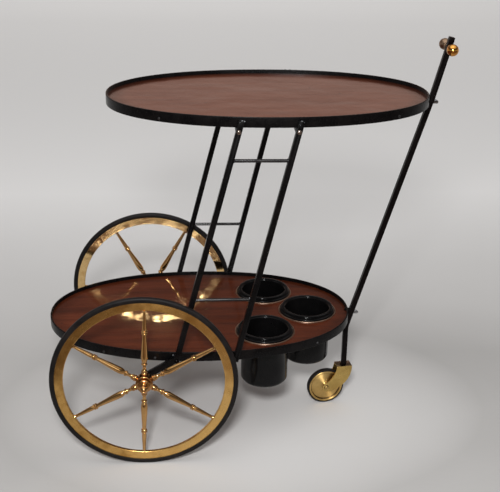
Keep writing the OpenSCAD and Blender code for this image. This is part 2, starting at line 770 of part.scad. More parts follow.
// A flat brass ring on the panel, with a raised bead that locates the cup's flange
module trim_ring(i) color(brass) at_cup(i) rotate_extrude() polygon(concat(
    [[ring_in_r, 0], [ring_out_r, 0]],
    arc(ring_out_r - ring_bead_w / 2, ring_base_t, ring_bead_w / 2, 0, 180, 8),
    [[ring_in_r, ring_base_t]]));

// A cup with a rolled lip, a groove, a flange that rests on the trim ring and a rounded bottom
module cup(i) {
    flange_h = 4.5;
    lip_h = 5;
    lip_r = cup_r + 5.6;
    top = ring_base_t + flange_h + lip_h;
    bottom = top - cup_depth - cup_wall;
    corner = 9;
    color(black) at_cup(i) rotate_extrude() polygon(concat(
        [[0, bottom]],
        arc(cup_out_r - corner, bottom + corner, corner, -90, 0, 6),
        [[cup_out_r, ring_base_t], [cup_flange_r - 1.5, ring_base_t]],
        arc(cup_flange_r - flange_h / 2, ring_base_t + flange_h / 2, flange_h / 2, -60, 90, 6),
        [[cup_r + 4, ring_base_t + flange_h + 0.4]],
        arc(lip_r - lip_h / 2 + 0.2, top - lip_h / 2 + 0.2, lip_h / 2 - 0.2, -80, 90, 8),
        [[cup_r, top], [cup_r, top - 1.5], [cup_in_r, top - 3.5]],
        arc(cup_in_r - corner + cup_wall, bottom + corner, corner - cup_wall, 0, -90, 6),
        [[0, bottom + cup_wall]]));
}

module near_ring() trim_ring(0);
module far_ring() trim_ring(1);
module end_ring() trim_ring(2);
module near_cup() cup(0);
module far_cup() cup(1);
module end_cup() cup(2);

upper_panel();
lower_panel();
upper_band();
lower_band();
near_left_rod();
near_right_rod();
far_left_rod();
far_right_rod();
near_high_rung();
near_low_rung();
far_high_rung();
far_low_rung();
left_rail();
right_rail();
near_strut();
far_strut();
frame_screws();
band_screws();
push_post();
post_bolts();
post_nuts();
post_spacers();
handle_bar();
near_knob();
far_knob();
near_axle();
far_axle();
near_cap_nut();
far_cap_nut();
near_tyre();
near_rim();
near_hub();
spoke(NEAR, 0);  // near_spoke_1
spoke(NEAR, 1);  // near_spoke_2
spoke(NEAR, 2);  // near_spoke_3
spoke(NEAR, 3);  // near_spoke_4
spoke(NEAR, 4);  // near_spoke_5
spoke(NEAR, 5);  // near_spoke_6
far_tyre();
far_rim();
far_hub();
spoke(FAR, 0);  // far_spoke_1
spoke(FAR, 1);  // far_spoke_2
spoke(FAR, 2);  // far_spoke_3
spoke(FAR, 3);  // far_spoke_4
spoke(FAR, 4);  // far_spoke_5
spoke(FAR, 5);  // far_spoke_6
castor_fork();
castor_stem();
castor_rivet();
castor_wheel();
castor_tyre();
near_ring();
far_ring();
end_ring();
near_cup();
far_cup();
end_cup();
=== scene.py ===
import json
import math

import bmesh
import bpy
from mathutils import Matrix, Vector, noise

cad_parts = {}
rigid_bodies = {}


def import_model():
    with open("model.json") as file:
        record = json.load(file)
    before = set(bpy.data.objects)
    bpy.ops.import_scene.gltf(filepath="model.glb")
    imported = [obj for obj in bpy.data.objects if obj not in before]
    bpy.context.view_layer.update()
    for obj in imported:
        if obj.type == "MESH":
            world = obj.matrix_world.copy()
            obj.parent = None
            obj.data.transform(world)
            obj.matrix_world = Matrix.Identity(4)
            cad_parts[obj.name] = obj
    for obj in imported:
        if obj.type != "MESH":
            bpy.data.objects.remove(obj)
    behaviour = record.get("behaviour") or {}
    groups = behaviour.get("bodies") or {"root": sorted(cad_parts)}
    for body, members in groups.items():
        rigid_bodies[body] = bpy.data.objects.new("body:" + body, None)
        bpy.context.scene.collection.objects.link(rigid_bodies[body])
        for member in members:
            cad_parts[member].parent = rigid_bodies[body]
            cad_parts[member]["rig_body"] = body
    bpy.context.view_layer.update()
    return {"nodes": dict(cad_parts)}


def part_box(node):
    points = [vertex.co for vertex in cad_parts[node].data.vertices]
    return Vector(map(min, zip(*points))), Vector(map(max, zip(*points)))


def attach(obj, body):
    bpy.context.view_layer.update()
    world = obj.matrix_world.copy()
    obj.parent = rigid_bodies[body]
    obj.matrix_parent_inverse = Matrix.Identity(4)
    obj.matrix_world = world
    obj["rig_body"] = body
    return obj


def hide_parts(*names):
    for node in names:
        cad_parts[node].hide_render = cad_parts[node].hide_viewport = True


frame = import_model()
nodes = frame["nodes"]
scene = bpy.context.scene

MM = 0.001
NEAR, FAR = -1, 1
SIDES = {"near": NEAR, "far": FAR}
OVAL_POWER = 2.14  # of the superellipse that both trays follow
CAD_MERGE = 2e-6  # metres, within which vertices of a CAD mesh are one
HARD_ANGLE = 32  # degrees, from which an edge counts as hard

# ---- Camera, at the photograph's viewing angle ----
PHOTO_WIDTH, PHOTO_HEIGHT = 500, 492  # pixels
FOCAL_LENGTH = 990.91  # pixels
AXIS_U, AXIS_V = 255.55, 259.77  # pixels, where the optical axis meets the photograph
SENSOR = 36
YAW, PITCH, ROLL = 0.0679, 0.4045, -0.0166  # radians
AHEAD_OF_AXLE, CAMERA_Y, CAMERA_Z = 0.0911, -1.7749, 1.08069

axle_lo, axle_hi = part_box("near_axle")
axle_x = (axle_lo.x + axle_hi.x) / 2
cam_data = bpy.data.cameras.new("camera")
cam_data.sensor_fit = "HORIZONTAL"
cam_data.sensor_width = SENSOR
cam_data.lens = FOCAL_LENGTH / PHOTO_WIDTH * SENSOR
cam_data.shift_x = (PHOTO_WIDTH / 2 - AXIS_U) / PHOTO_WIDTH
cam_data.shift_y = (AXIS_V - PHOTO_HEIGHT / 2) / PHOTO_WIDTH
cam_data.clip_end = 60
cam = bpy.data.objects.new("camera", cam_data)
scene.collection.objects.link(cam)
fwd = Vector((math.sin(YAW) * math.cos(PITCH), math.cos(YAW) * math.cos(PITCH), -math.sin(PITCH)))
right = Vector((math.cos(YAW), -math.sin(YAW), 0))
down = fwd.cross(right)
rolled_right = math.cos(ROLL) * right + math.sin(ROLL) * down
rolled_down = -math.sin(ROLL) * right + math.cos(ROLL) * down
turn = Matrix((rolled_right, -rolled_down, -fwd)).transposed()
cam_place = Matrix.Translation((axle_x + AHEAD_OF_AXLE, CAMERA_Y, CAMERA_Z))
cam.matrix_world = cam_place @ turn.to_4x4()
scene.camera = cam
scene.view_settings.view_transform = "Standard"


# ---- Node helpers ----
class Shade:
    """The node tree of a material or a world. Any input takes a socket or a value."""

    def __init__(self, owner):
        owner.use_nodes = True
        self.owner = owner
        self.tree = owner.node_tree

    def put(self, socket, value):
        if isinstance(value, bpy.types.NodeSocket):
            self.tree.links.new(value, socket)
        elif isinstance(value, tuple) and len(value) == 3 and socket.type == "RGBA":
            socket.default_value = (*value, 1)
        else:
            socket.default_value = value

    def new(self, kind, values=(), props=None, **named):
        """A node whose first inputs take the values in order, and others by name."""
        node = self.tree.nodes.new("ShaderNode" + kind)
        for key, value in (props or {}).items():
            setattr(node, key, value)
        for socket, value in zip(node.inputs, values):
            self.put(socket, value)
        for key, value in named.items():
            self.put(node.inputs[key], value)
        return node

    def coord(self, sx=1.0, sy=1.0, sz=1.0):
        """Object coordinates, stretched."""
        place = self.new("TexCoord").outputs["Object"]
        return self.new("Mapping", Vector=place, Scale=(sx, sy, sz)).outputs[0]

    def split(self, vector):
        return tuple(self.new("SeparateXYZ", (vector,)).outputs)

    def position(self):
        """X, Y and Z of the object coordinates."""
        return self.split(self.new("TexCoord").outputs["Object"])

    def turned(self):
        """Distance from a turned piece's axis and height along it, equal all the way round."""
        x, y, z = self.position()
        square = self.math("ADD", self.math("MULTIPLY", x, x), self.math("MULTIPLY", y, y))
        return self.new("CombineXYZ", (self.math("SQRT", square), 0.0, z)).outputs[0]

    def oval(self, x, y, centre, half, power):
        """0 in the middle of an oval and 1 at its edge."""
        parts = []
        for place, middle_of, half_size in zip((x, y), centre, half):
            offset = self.math("DIVIDE", self.math("SUBTRACT", place, middle_of), half_size)
            parts.append(self.math("POWER", self.math("ABSOLUTE", offset), power))
        return self.math("ADD", *parts)

    def math(self, kind, a, b=0.0):
        return self.new("Math", (a, b), {"operation": kind}).outputs[0]

    def noise(self, vector, scale, detail, rough):
        node = self.new("TexNoise", Vector=vector, Scale=scale, Detail=detail, Roughness=rough)
        return node.outputs["Fac"]

    def ramp(self, fac, *stops):
        """Colours, or grey levels given as one number, at places along fac."""
        node = self.new("ValToRGB", (fac,))
        elements = node.color_ramp.elements
        while len(elements) < len(stops):
            elements.new(0.5)
        for element, (place, color) in zip(elements, stops):
            element.position = place
            grey = (color, color, color, 1)
            element.color = (*color, 1) if isinstance(color, tuple) else grey
        return node.outputs[0]

    def span(self, fac, low, high, from_low=0.3, from_high=0.7):
        """From low to high while fac goes from from_low to from_high, and level beyond."""
        return self.new("MapRange", (fac, from_low, from_high, low, high)).outputs[0]

    def mix(self, fac, a, b):
        """Colour a where fac is 0, b where it is 1."""
        node = self.new("Mix", (fac,), {"data_type": "RGBA"})
        self.put(node.inputs[6], a)
        self.put(node.inputs[7], b)
        return node.outputs[2]

    def bump(self, height, strength, distance, normal=None):
        under = {} if normal is None else {"Normal": normal}
        node = self.new("Bump", Strength=strength, Distance=distance, Height=height, **under)
        return node.outputs[0]

    def shader(self):
        return self.tree.nodes["Principled BSDF"]

    def color(self):
        """What the base colour comes from so far."""
        return self.shader().inputs["Base Color"].links[0].from_socket

    def done(self, **inputs):
        for key, value in inputs.items():
            self.put(self.shader().inputs[key.replace("_", " ")], value)
        return self.owner


def new_shade(name):
    return Shade(bpy.data.materials.new(name))


def outline(node):
    """Middle and half size of a panel, in plan."""
    lo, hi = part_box(node)
    return ((lo.x + hi.x) / 2, (lo.y + hi.y) / 2), ((hi.x - lo.x) / 2, (hi.y - lo.y) / 2)


def darker(color, share):
    return tuple(share * c for c in color)


# ---- Materials ----
WOOD_SPECK = (0.02, 0.008, 0.006)
DUST = (0.12, 0.11, 0.1)
RUBBER_DUST = (0.07, 0.065, 0.06)
BRASS_SPOT = (0.09, 0.045, 0.015)
BRASS_PAINTED_HIGHLIGHT = (0.9, 0.57, 0.2)
BRASS_GROOVE_DARK = (0.07, 0.04, 0.02)
BRASS_TOP_REFLECTION = (0.1, 0.06, 0.045)
SCREW_DARK_LOW = (0.012, 0.01, 0.01)
WELD_PAINT, WELD_BARE = (0.02, 0.02, 0.022), (0.32, 0.33, 0.35)
CUP_DARK, CUP_LIGHT = (0.003, 0.0029, 0.0031), (0.006, 0.0055, 0.0056)


def wood(name, panel, pale, mid, dark, coat, coat_rough, edge_shade):
    """Stained veneer, grain along the trolley, under clear lacquer, with painted shade at its edge.
    """
    s = new_shade(name)
    bands = s.noise(s.coord(1.6, 15, 8), 3.2, 4, 0.6)
    grain = s.noise(s.coord(7, 230, 90), 4.5, 5, 0.62)
    pores = s.noise(s.coord(26, 900, 300), 2.2, 2, 0.5)
    cloud = s.noise(s.coord(), 5.5, 3, 0.5)
    specks = s.noise(s.coord(1, 1.4, 1), 95, 1, 0.4)
    streaks = s.noise(s.coord(3, 420, 200), 3.0, 3, 0.55)
    ripples = s.noise(s.coord(), 13, 2, 0.5)
    x, y, _ = s.position()
    edge = s.oval(x, y, *outline(panel), OVAL_POWER)
    tone = s.ramp(bands, (0.25, dark), (0.5, mid), (0.78, pale))
    tone = s.mix(s.span(grain, 0.0, 0.55, 0.35, 0.75), tone, dark)
    tone = s.mix(s.span(pores, 0.0, 0.5, 0.6, 0.72), tone, darker(dark, 0.35))
    tone = s.mix(s.span(cloud, 0.0, 0.35, 0.45, 0.7), tone, pale)
    tone = s.mix(s.span(specks, 0.0, 0.8, 0.765, 0.79), tone, WOOD_SPECK)
    tone = s.mix(s.span(streaks, 0.0, 0.6, 0.56, 0.7), tone, dark)
    # painted shade and painted reflection: the panel darkens towards its edge, standing in for the
    # band's shade and its dark mirror image
    tone = s.mix(s.span(edge, 0.0, edge_shade, 0.76, 0.98), tone, darker(dark, 0.3))
    height = s.math("ADD", grain, s.math("MULTIPLY", pores, 0.6))
    return s.done(Base_Color=tone, Roughness=s.span(grain, 0.24, 0.4),
                  Normal=s.bump(height, 0.12, 0.0002), Coat_Normal=s.bump(ripples, 0.35, 0.004),
                  Coat_Weight=coat, Coat_Roughness=coat_rough, Coat_IOR=1.5,
                  Specular_IOR_Level=0.04)


def lacquer(name, base, light, rough, dust, gloss=0.1):
    """Black lacquer on steel: slightly uneven, with fine orange peel, dust and rubbed patches."""
    s = new_shade(name)
    patch = s.noise(s.coord(), 38, 4, 0.6)
    fine = s.noise(s.coord(), 420, 3, 0.6)
    specks = s.noise(s.coord(), 900, 1, 0.4)
    tone = s.mix(s.span(patch, 0.0, 1.0, 0.4, 0.72), base, light)
    tone = s.mix(s.span(specks, 0.0, dust, 0.68, 0.78), tone, DUST)
    roughness = s.math("ADD", s.span(patch, *rough), s.span(fine, 0.0, 0.08))
    normal = s.bump(patch, 0.15, 0.0003, s.bump(fine, 0.12, 0.0001))
    return s.done(Base_Color=tone, Roughness=roughness, Normal=normal, Specular_IOR_Level=gloss)


def brass(name, bright, mid, dark, rough, marks, tarnish, turned=True, dents=0.0):
    """Polished brass with turning or brushing marks, cloudy tarnish and small dark spots."""
    s = new_shade(name)
    cloud = s.noise(s.coord(), 28, 4, 0.6)
    small = s.noise(s.coord(), 160, 4, 0.65)
    spots = s.noise(s.coord(), 300, 1, 0.4)
    if turned:
        lines = s.noise(s.turned(), 1900, 2, 0.6)
    else:
        lines = s.noise(s.coord(1, 1, 12), 240, 2, 0.6)
    tone = s.ramp(cloud, (0.3, mid), (0.52, bright), (0.72, mid))
    tone = s.mix(s.span(small, 0.0, tarnish, 0.56, 0.8), tone, dark)
    tone = s.mix(s.span(lines, 0.0, 0.2, 0.5, 0.75), tone, mid)
    tone = s.mix(s.span(spots, 0.0, 0.7, 0.77, 0.82), tone, BRASS_SPOT)
    roughness = s.math("ADD", s.span(cloud, *rough), s.span(lines, 0.0, 0.03))
    normal = s.bump(cloud, 0.1, 0.0006, s.bump(lines, marks, 0.00002))
    if dents:
        normal = s.bump(s.noise(s.coord(), 15, 2, 0.5), dents, 0.006, normal)
    return s.done(Base_Color=tone, Roughness=roughness, Normal=normal, Metallic=1.0)


def rubber(name, base, worn):
    s = new_shade(name)
    cloud = s.noise(s.coord(), 34, 4, 0.6)
    grit = s.noise(s.coord(), 700, 3, 0.7)
    tone = s.mix(s.span(cloud, 0.0, 1.0, 0.4, 0.7), base, worn)
    tone = s.mix(s.span(grit, 0.0, 0.4, 0.6, 0.8), tone, RUBBER_DUST)
    return s.done(Base_Color=tone, Roughness=s.span(cloud, 0.4, 0.6),
                  Normal=s.bump(grit, 0.35, 0.00015), Specular_IOR_Level=0.16)


def plastic(name):
    """Moulded black plastic of the cups: glossy, with fine wipe marks."""
    s = new_shade(name)
    cloud = s.noise(s.coord(), 22, 4, 0.6)
    wipe = s.noise(s.coord(1, 1, 9), 140, 3, 0.6)
    tone = s.mix(s.span(cloud, 0.0, 1.0, 0.35, 0.75), CUP_DARK, CUP_LIGHT)
    roughness = s.math("ADD", s.span(cloud, 0.09, 0.15), s.span(wipe, 0.0, 0.06))
    return s.done(Base_Color=tone, Roughness=roughness, Normal=s.bump(wipe, 0.04, 0.0001),
                  Specular_IOR_Level=0.13)


def worn_metal(name, bare, grime, size, rough, dull_below=0.0):
    """Plain metal, bright in some places and dull with grime in others, and dark all over below a
    given height.
    """
    s = new_shade(name)
    where = s.noise(s.coord(), size, 2, 0.5)
    fine = s.noise(s.coord(), 800, 3, 0.6)
    tone = s.mix(s.span(where, 0.0, 1.0, 0.52, 0.66), bare, grime)
    tone = s.mix(s.span(fine, 0.0, 0.5, 0.5, 0.75), tone, grime)
    # below dull_below the metal is darker all over
    if dull_below:
        low = s.span(s.position()[2], 1.0, 0.0, dull_below - 0.01, dull_below + 0.01)
        tone = s.mix(low, tone, SCREW_DARK_LOW)
    return s.done(Base_Color=tone, Roughness=s.span(fine, *rough), Metallic=1.0,
                  Normal=s.bump(fine, 0.2, 0.0001))


def weld_metal(name):
    """Painted-over weld beads: rough and dark, with bare bright spatter."""
    s = new_shade(name)
    lumps = s.noise(s.coord(), 520, 4, 0.65)
    bare = s.span(s.noise(s.coord(), 380, 2, 0.5), 0.0, 1.0, 0.5, 0.62)
    return s.done(Base_Color=s.mix(bare, WELD_PAINT, WELD_BARE), Metallic=bare,
                  Roughness=s.span(lumps, 0.2, 0.42), Normal=s.bump(lumps, 0.8, 0.0006))


MATERIALS = (
    (wood, "upper_wood", dict(
        panel="upper_panel", pale=(0.148, 0.041, 0.019), mid=(0.112, 0.029, 0.013),
        dark=(0.07, 0.016, 0.0068), coat=0.9, coat_rough=0.15, edge_shade=0.92)),
    (wood, "lower_wood", dict(
        panel="lower_panel", pale=(0.16, 0.036, 0.013), mid=(0.102, 0.022, 0.008),
        dark=(0.042, 0.01, 0.0045), coat=0.65, coat_rough=0.06, edge_shade=0.45)),
    (lacquer, "black_steel", dict(
        base=(0.0025, 0.0023, 0.0026), light=(0.0055, 0.0045, 0.0045),
        rough=(0.18, 0.3), dust=0.25)),
    (lacquer, "rung_black", dict(
        base=(0.005, 0.004, 0.0045), light=(0.01, 0.008, 0.008),
        rough=(0.1, 0.18), dust=0.4, gloss=0.35)),
    (lacquer, "post_black", dict(
        base=(0.003, 0.0022, 0.0022), light=(0.006, 0.004, 0.0038),
        rough=(0.2, 0.34), dust=0.2, gloss=0.045)),
    (worn_metal, "screw_steel", dict(
        bare=(0.5, 0.4, 0.34), grime=(0.05, 0.035, 0.03), size=9, rough=(0.14, 0.3),
        dull_below=0.35)),
    (worn_metal, "band_screw", dict(
        bare=(0.08, 0.078, 0.08), grime=(0.012, 0.011, 0.012), size=30, rough=(0.3, 0.45))),
    (worn_metal, "nut_steel", dict(
        bare=(0.36, 0.36, 0.37), grime=(0.015, 0.015, 0.015), size=300, rough=(0.12, 0.28))),
    (brass, "rim_brass", dict(
        bright=(0.64, 0.38, 0.12), mid=(0.41, 0.215, 0.055), dark=(0.24, 0.11, 0.025),
        rough=(0.2, 0.28), marks=0.2, tarnish=0.45, dents=0.4)),
    # the far rim is a brighter copy of the near rim's brass: painted highlight
    (brass, "far_rim_brass", dict(
        bright=(0.86, 0.6, 0.28), mid=(0.56, 0.34, 0.125), dark=(0.33, 0.18, 0.065),
        rough=(0.14, 0.2), marks=0.2, tarnish=0.35, dents=0.7)),
    (brass, "hub_brass", dict(
        bright=(0.5, 0.26, 0.1), mid=(0.34, 0.165, 0.06), dark=(0.11, 0.048, 0.02),
        rough=(0.08, 0.17), marks=0.3, tarnish=0.7)),
    (brass, "turned_brass", dict(
        bright=(0.62, 0.36, 0.14), mid=(0.44, 0.24, 0.085), dark=(0.17, 0.08, 0.028),
        rough=(0.06, 0.13), marks=0.25, tarnish=0.5)),
    (brass, "knob_brass", dict(
        bright=(0.7, 0.33, 0.075), mid=(0.58, 0.25, 0.05), dark=(0.3, 0.11, 0.02),
        rough=(0.07, 0.12), marks=0.2, tarnish=0.3)),
    (brass, "dull_brass", dict(
        bright=(0.3, 0.2, 0.13), mid=(0.23, 0.145, 0.095), dark=(0.1, 0.06, 0.04),
        rough=(0.3, 0.42), marks=0.3, tarnish=0.6)),
    (brass, "disc_brass", dict(
        bright=(0.66, 0.45, 0.17), mid=(0.54, 0.34, 0.11), dark=(0.33, 0.18, 0.05),
        rough=(0.4, 0.48), marks=0.35, tarnish=0.4)),
    (brass, "fork_brass", dict(
        bright=(0.56, 0.385, 0.125), mid=(0.47, 0.31, 0.095), dark=(0.25, 0.14, 0.045),
        rough=(0.2, 0.32), marks=0.2, tarnish=0.4, turned=False)),
    (brass, "ring_brass", dict(
        bright=(0.38, 0.25, 0.18), mid=(0.28, 0.18, 0.13), dark=(0.12, 0.07, 0.05),
        rough=(0.28, 0.42), marks=0.3, tarnish=0.6)),
    (rubber, "rubber", dict(base=(0.005, 0.0042, 0.0042), worn=(0.011, 0.0085, 0.008))),
    (plastic, "cup_black", {}),
    (weld_metal, "weld_metal", {}),
)
mats = {name: make(name, **look) for make, name, look in MATERIALS}

# the rims and the castor's disc are brushed in circles, so their highlights fan out
for name, amount in (("disc_brass", 0.85), ("rim_brass", 0.8), ("far_rim_brass", 0.8)):
    s = Shade(mats[name])
    tangent = s.new("Tangent", props={"direction_type": "RADIAL", "axis": "Z"}).outputs[0]
    s.done(Tangent=tangent, Anisotropic=amount, Anisotropic_Rotation=0.25)

# painted highlight: the near rim is made brighter on one side
s = Shade(mats["rim_brass"])
x, y, _ = s.position()
painted_highlight_side = s.math("SUBTRACT", s.math("MULTIPLY", x, 0.97), s.math("MULTIPLY", y, 0.24))
s.done(Base_Color=s.mix(s.span(painted_highlight_side, 0.0, 0.6, 0.0, 0.14), s.color(), BRASS_PAINTED_HIGHLIGHT))

# painted shadow round the castor rivet's head and painted shade in the rivet's dimple; the groove
# round the castor's disc is darkened as well
GROOVES = ((0.0299, 0.0014), (0.0047, 0.0008), (0.0017, 0.0006))  # radius and reach, metres
s = Shade(mats["disc_brass"])
radius, _, _ = s.split(s.turned())
tone = s.color()
for groove, reach in GROOVES:
    gap = s.math("ABSOLUTE", s.math("SUBTRACT", radius, groove))
    tone = s.mix(s.span(gap, 0.85, 0.0, reach * 0.3, reach), tone, BRASS_GROOVE_DARK)
s.done(Base_Color=tone)

# painted reflection: the upward faces of the castor's fork are darkened, standing in for the dark
# surroundings seen in them
s = Shade(mats["fork_brass"])
_, _, up = s.split(s.new("NewGeometry").outputs["Normal"])
s.done(Base_Color=s.mix(s.span(up, 0.0, 0.85, 0.5, 0.9), s.color(), BRASS_TOP_REFLECTION))


# ---- Mesh helpers ----
def finish_mesh(name, bm, mat, body, place=None, stands_for=(), angle=HARD_ANGLE, merge=True):
    """Turns bm into a piece that rides on a body and stands for CAD nodes.

    Edges of at least angle degrees stay hard. Merge joins vertices that coincide.
    """
    if merge:
        bmesh.ops.remove_doubles(bm, verts=bm.verts, dist=1e-6)
    bmesh.ops.recalc_face_normals(bm, faces=bm.faces)
    mesh = bpy.data.meshes.new(name)
    bm.to_mesh(mesh)
    bm.free()
    for polygon in mesh.polygons:
        polygon.use_smooth = True
    mesh.set_sharp_from_angle(angle=math.radians(angle))
    mesh.materials.append(mat)
    piece = bpy.data.objects.new(name, mesh)
    scene.collection.objects.link(piece)
    if place is not None:
        piece.matrix_world = place
    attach(piece, body)
    if stands_for:
        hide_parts(*stands_for)


def rounded(points, radius, closed=False, steps=3):
    """A line of (r, z) points with rounded corners; radius is one number or one per point."""
    out = []
    n = len(points)
    for i, p in enumerate(points):
        r = radius[i] if isinstance(radius, (list, tuple)) else radius
        if not closed and i in (0, n - 1) or r <= 0:
            out.append(tuple(p))
            continue
        here = Vector(p)
        before, after = Vector(points[i - 1]) - here, Vector(points[(i + 1) % n]) - here
        if before.length < 1e-9 or after.length < 1e-9:
            out.append(tuple(p))
            continue
        cut = min(r, before.length * 0.45, after.length * 0.45)
        a, b = here + before.normalized() * cut, here + after.normalized() * cut
        for k in range(steps + 1):
            t = k / steps
            q = a * (1 - t) ** 2 + here * 2 * t * (1 - t) + b * t * t
            out.append((q.x, q.y))
    return out


def arc(x, y, r, start, end, steps=10):
    """Points on a circle, from one angle to another in degrees."""
    angles = [math.radians(start + (end - start) * i / steps) for i in range(steps + 1)]
    return [(x + r * math.cos(a), y + r * math.sin(a)) for a in angles]


def smooth_run(points, steps):
    """A Catmull-Rom run through the points."""
    out = []
    for i in range(len(points) - 1):
        p0 = Vector(points[max(i - 1, 0)])
        p1, p2 = Vector(points[i]), Vector(points[i + 1])
        p3 = Vector(points[min(i + 2, len(points) - 1)])
        for k in range(steps):
            t = k / steps
            q = 0.5 * ((2 * p1) + (p2 - p0) * t + (2 * p0 - 5 * p1 + 4 * p2 - p3) * t * t
                       + (3 * p1 - p0 - 3 * p2 + p3) * t ** 3)
            out.append((q.x, q.y))
    out.append(tuple(points[-1]))
    return out


def both_faces(profile):
    """A profile followed by its mirror image in the plane z = 0."""
    return profile + [(r, -z) for r, z in reversed(profile)]


def lathe(bm, profile, segs, closed=False, place=None):
    """Revolves (r, z) in millimetres round the local Z axis into bm."""
    place = place or Matrix.Identity(4)
    rows = []
    for r, z in profile:
        if r < 1e-4:
            rows.append([bm.verts.new(place @ Vector((0, 0, z * MM)))] * segs)
            continue
        row = []
        for i in range(segs):
            x = r * MM * math.cos(2 * math.pi * i / segs)
            y = r * MM * math.sin(2 * math.pi * i / segs)
            row.append(bm.verts.new(place @ Vector((x, y, z * MM))))
        rows.append(row)
    pairs = list(zip(rows, rows[1:]))
    if closed:
        pairs.append((rows[-1], rows[0]))
    for a, b in pairs:
        for i in range(segs):
            j = (i + 1) % segs
            ring = [a[i], a[j], b[j], b[i]]
            corners = [v for k, v in enumerate(ring) if v not in ring[:k]]
            if len(corners) > 2:
                bm.faces.new(corners)


def turned_piece(name, node, profile, place, mat, body, segs, closed=False, angle=HARD_ANGLE):
    """A turned or moulded piece that stands for one CAD node."""
    bm = bmesh.new()
    lathe(bm, profile, segs, closed)
    finish_mesh(name, bm, mats[mat], body, place, (node,), angle)


def refined(node, mat, bevel=0.0, steps=2):
    """A copy of a CAD node with its hard edges rounded by bevel millimetres."""
    source = nodes[node]
    bm = bmesh.new()
    bm.from_mesh(source.data)
    bmesh.ops.remove_doubles(bm, verts=bm.verts, dist=CAD_MERGE)
    bmesh.ops.dissolve_limit(bm, angle_limit=math.radians(1.0), verts=bm.verts, edges=bm.edges)
    if bevel:
        hard = [e for e in bm.edges
                if len(e.link_faces) == 2 and e.calc_face_angle(0) > math.radians(HARD_ANGLE)]
        bmesh.ops.bevel(bm, geom=hard, offset=bevel * MM, offset_type="OFFSET", segments=steps,
                        profile=0.5, affect="EDGES", clamp_overlap=True, loop_slide=True)
    body = source["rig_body"]
    finish_mesh(node + "_finished", bm, mats[mat], body, stands_for=(node,), merge=False)


def middle(node):
    lo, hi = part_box(node)
    return (lo + hi) / 2


def facing(side):
    """Local +Z points to the outside of the near or the far side."""
    return Matrix.Rotation(math.radians(-90 * side), 4, "X")


# ---- Large wheels; every profile is a list of (radius, height) in millimetres ----
SPOKES = 6
WHEEL_TURN = {NEAR: 28.3, FAR: 0}  # degrees, the first spoke's turn round the axle
RIM = rounded([(145.5, -2.6), (146.2, -3.3), (150, -3.34), (156, -3.34), (161, -3.3), (161, 3.3),
               (156, 3.34), (150, 3.34), (146.2, 3.3), (145.5, 2.6)],
              [0.5, 0.5, 0, 0, 0, 0, 0, 0, 0.5, 0.5], True)
TYRE = ([(161, -4.6), (161.6, -5), (164.4, -5.05)] + arc(166.2, -1.2, 3.75, -80, -8, 8)
        + [(170.0, -0.35), (170.0, 0.35)] + arc(166.2, 1.2, 3.75, 8, 80, 8)
        + [(164.4, 5.05), (161.6, 5), (161, 4.6)])
SPOKE_SOCKET = ([(0, 8), (5.0, 8), (5.0, 16.2), (5.2, 16.8)] + arc(4.9, 18.9, 1.5, -70, 70, 8)
                + [(5.1, 21), (5.4, 22.2), (5.6, 23.2), (5.2, 24), (0, 24)])
SPOKE_FOOT = [(0, 24), (4.4, 24), (5.0, 24.3), (5.0, 25.2), (4.2, 26.2), (3.45, 27.2), (3.2, 29),
              (3.15, 32.6), (3.4, 34.2), (4.0, 35.2)]
SPOKE_SWELL = smooth_run([(3.9, 41.2), (5.1, 44), (6.1, 49), (6.15, 55), (5.75, 63), (5.15, 72),
                          (4.5, 82), (3.9, 91), (3.6, 97.6)], 3)
SPOKE_TAPER = smooth_run([(4.0, 106.2), (4.25, 108.5), (4.05, 115), (3.6, 124), (3.15, 133),
                          (2.8, 140.5)], 3)
SPOKE_END = [(2.75, 142.6), (3.1, 143.6), (3.8, 144.8), (3.9, 145.4), (0, 145.4)]
SPOKE = (SPOKE_FOOT + arc(3.3, 38, 2.2, -75, 75, 8) + [(3.7, 40.6)] + SPOKE_SWELL
         + arc(3.9, 99.9, 1.75, -78, 78, 8) + [(3.9, 101.7)]
         + arc(3.9, 103.7, 1.75, -78, 78, 8) + [(3.9, 105.4)] + SPOKE_TAPER + SPOKE_END)
CAP_NUT = (rounded([(4.04, 16.3), (9.6, 16.3), (10.5, 16.8), (10.5, 17.9), (9.9, 18.4),
                    (7.0, 18.6), (6.5, 19.3), (6.8, 20.2)], 0.3)
           + arc(0, 24.2, 8.0, -29, 78, 18) + [(1.45, 31.9), (1.1, 31.3), (0, 31.1)])


def hub_drum(inner):
    """The hub without its spoke sockets; it reaches inward by inner millimetres."""
    return rounded([(4.06, -inner), (9.5, -inner), (9.5, -inner + 3), (8.5, -inner + 4),
                    (8.5, -9.4), (12.5, -8.9), (15.4, -8.2), (16.0, -7.2), (16.0, 7.2),
                    (15.4, 8.2), (10.6, 8.8), (9.3, 9.6), (9.3, 11.2), (11.6, 11.9),
                    (12.9, 13.2), (12.9, 14.2), (12.2, 15.3), (10.9, 16), (4.06, 16)], 0.7, True)


